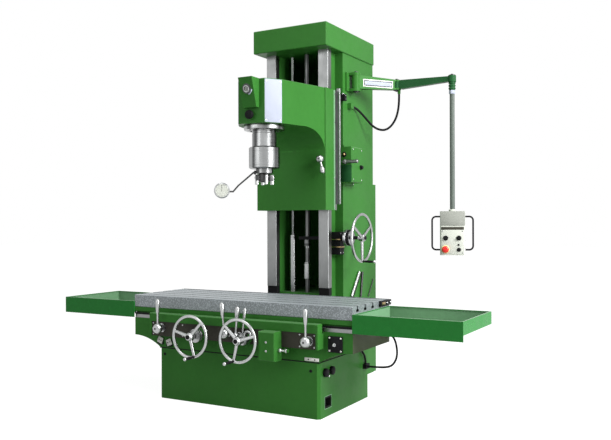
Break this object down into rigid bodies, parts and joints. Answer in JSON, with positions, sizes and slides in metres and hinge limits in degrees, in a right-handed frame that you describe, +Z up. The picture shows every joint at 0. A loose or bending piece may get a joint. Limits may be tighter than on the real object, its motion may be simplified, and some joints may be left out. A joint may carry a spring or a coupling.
{
  "type": "cylinder boring machine",
  "caption": "Vertical boring machine for engine blocks: column with a sliding spindle head, slotted table with trays on a bed, apron handwheels and levers, and a swinging control pendant.",
  "frame": {"origin": "where the spindle's axis meets the floor", "axes": "+X along the table to the operator's right, +Y back into the machine, +Z up"},
  "size_m": [2.692, 1.644, 2.325],
  "materials": {
    "green_paint": "semi-gloss paint",
    "bright_steel": "ground",
    "cast_table": "scraped",
    "tray_paint": "gloss paint",
    "panel_paint": "satin",
    "grey_paint": "satin",
    "black_plastic": "satin",
    "cable_rubber": "matt"
  },
  "bodies": {
    "frame": {"base": "green_paint", "column": "green_paint", "column_ways": "bright_steel", "way_buffers": "black_plastic", "top_cover": "green_paint", "rear_cover": "green_paint", "feed_screw": "bright_steel", "splined_shaft": "bright_steel", "shaft_bracket": "green_paint", "gear_case": "green_paint", "feed_box": "green_paint", "limit_switch": "black_plastic", "conduit_box": "green_paint", "pendant_bracket": "green_paint", "base_terminal": "black_plastic", "arm_conduit": "cable_rubber"},
    "saddle": {"bed": "green_paint", "bed_ways": "bright_steel", "apron": "green_paint", "apron_plate": "panel_paint", "apron_bearings": "bright_steel", "control_box": "green_paint", "switch_plate": "black_plastic", "bed_terminals": "black_plastic", "bed_cable_1": "cable_rubber", "bed_cable_2": "cable_rubber"},
    "table": {"table": "cast_table", "table_base": "green_paint", "left_tray": "tray_paint", "right_tray": "tray_paint"},
    "head": {"carriage": "green_paint", "keepers": "bright_steel", "drive_nut": "bright_steel", "trip_bar": "bright_steel", "headstock": "green_paint", "wedge_panel": "green_paint", "dial": "bright_steel", "front_knob": "black_plastic", "spindle_flange": "bright_steel", "quill": "bright_steel", "drum": "bright_steel"},
    "spindle": {"spindle_nose": "bright_steel", "cutter_head": "bright_steel", "centring_gauge": "bright_steel"},
    "handwheel_1": {"handwheel_1": "bright_steel"},
    "handwheel_2": {"handwheel_2": "bright_steel"},
    "lever_1": {"lever_1": "bright_steel"},
    "lever_2": {"lever_2": "bright_steel"},
    "lever_3": {"lever_3": "bright_steel"},
    "lever_4": {"lever_4": "bright_steel"},
    "feed_lever": {"feed_lever": "bright_steel"},
    "clamp_lever": {"clamp_lever": "bright_steel"},
    "side_wheel": {"side_wheel": "bright_steel"},
    "inner_arm": {"inner_arm": "green_paint"},
    "outer_arm": {"outer_arm": "green_paint"},
    "pendant": {"pendant_tube": "grey_paint", "pendant_box": "grey_paint", "pendant_handles": "black_plastic", "pendant_buttons": "black_plastic"}
  },
  "joints": [
    {"name": "cross_slide", "type": "slide", "parent": "frame", "child": "saddle", "axis": [0, 1, 0], "range_m": [-0.06, 0.06], "deforming": ["bed_cable_1", "bed_cable_2"]},
    {"name": "table_slide", "type": "slide", "parent": "saddle", "child": "table", "axis": [1, 0, 0], "range_m": [-0.4, 0.4]},
    {"name": "head_slide", "type": "slide", "parent": "frame", "child": "head", "axis": [0, 0, 1], "range_m": [-0.47, 0.18]},
    {"name": "spindle_spin", "type": "hinge", "parent": "head", "child": "spindle", "pos_m": [0, 0, 1.389], "axis": [0, 0, 1], "continuous": true},
    {"name": "handwheel_1_turn", "type": "hinge", "parent": "saddle", "child": "handwheel_1", "pos_m": [-0.206, -0.468, 0.4121], "axis": [0, -1, 0], "continuous": true},
    {"name": "handwheel_2_turn", "type": "hinge", "parent": "saddle", "child": "handwheel_2", "pos_m": [0.122, -0.468, 0.4121], "axis": [0, -1, 0], "continuous": true},
    {"name": "side_wheel_turn", "type": "hinge", "parent": "frame", "child": "side_wheel", "pos_m": [0.415, 0.512, 0.962], "axis": [1, 0, 0], "continuous": true},
    {"name": "lever_1_swing", "type": "hinge", "parent": "saddle", "child": "lever_1", "pos_m": [-0.482, -0.422, 0.436], "axis": [0, 1, 0], "range_deg": [-20, 20]},
    {"name": "lever_2_swing", "type": "hinge", "parent": "saddle", "child": "lever_2", "pos_m": [0.001, -0.422, 0.438], "axis": [0, 1, 0], "range_deg": [-20, 20]},
    {"name": "lever_3_swing", "type": "hinge", "parent": "saddle", "child": "lever_3", "pos_m": [0.077, -0.422, 0.434], "axis": [0, 1, 0], "range_deg": [-20, 20]},
    {"name": "lever_4_swing", "type": "hinge", "parent": "saddle", "child": "lever_4", "pos_m": [0.523, -0.422, 0.43], "axis": [0, 1, 0], "range_deg": [-20, 20]},
    {"name": "feed_lever_swing", "type": "hinge", "parent": "frame", "child": "feed_lever", "pos_m": [0.3025, 0.492, 1.454], "axis": [0, 1, 0], "range_deg": [-20, 20]},
    {"name": "clamp_lever_swing", "type": "hinge", "parent": "head", "child": "clamp_lever", "pos_m": [0.228, 0.291, 1.462], "axis": [0, 1, 0], "range_deg": [-20, 20]},
    {"name": "arm_shoulder", "type": "hinge", "parent": "frame", "child": "inner_arm", "pos_m": [0.313, 0.64, 1.992], "axis": [0, 0, 1], "range_deg": [-40, 10], "deforming": ["arm_conduit"]},
    {"name": "arm_elbow", "type": "hinge", "parent": "inner_arm", "child": "outer_arm", "pos_m": [0.503, 0.883, 1.992], "axis": [0, 0, 1], "range_deg": [-30, 45]},
    {"name": "pendant_swivel", "type": "hinge", "parent": "outer_arm", "child": "pendant", "pos_m": [0.903, 0.85, 1.992], "axis": [0, 0, 1], "range_deg": [-60, 60]}
  ],
  "couplings": [
    {"joint": "handwheel_1_turn", "follows": "table_slide", "rad_per_m": 62.832},
    {"joint": "handwheel_2_turn", "follows": "cross_slide", "rad_per_m": 125.66},
    {"joint": "side_wheel_turn", "follows": "head_slide", "rad_per_m": 62.832}
  ]
}
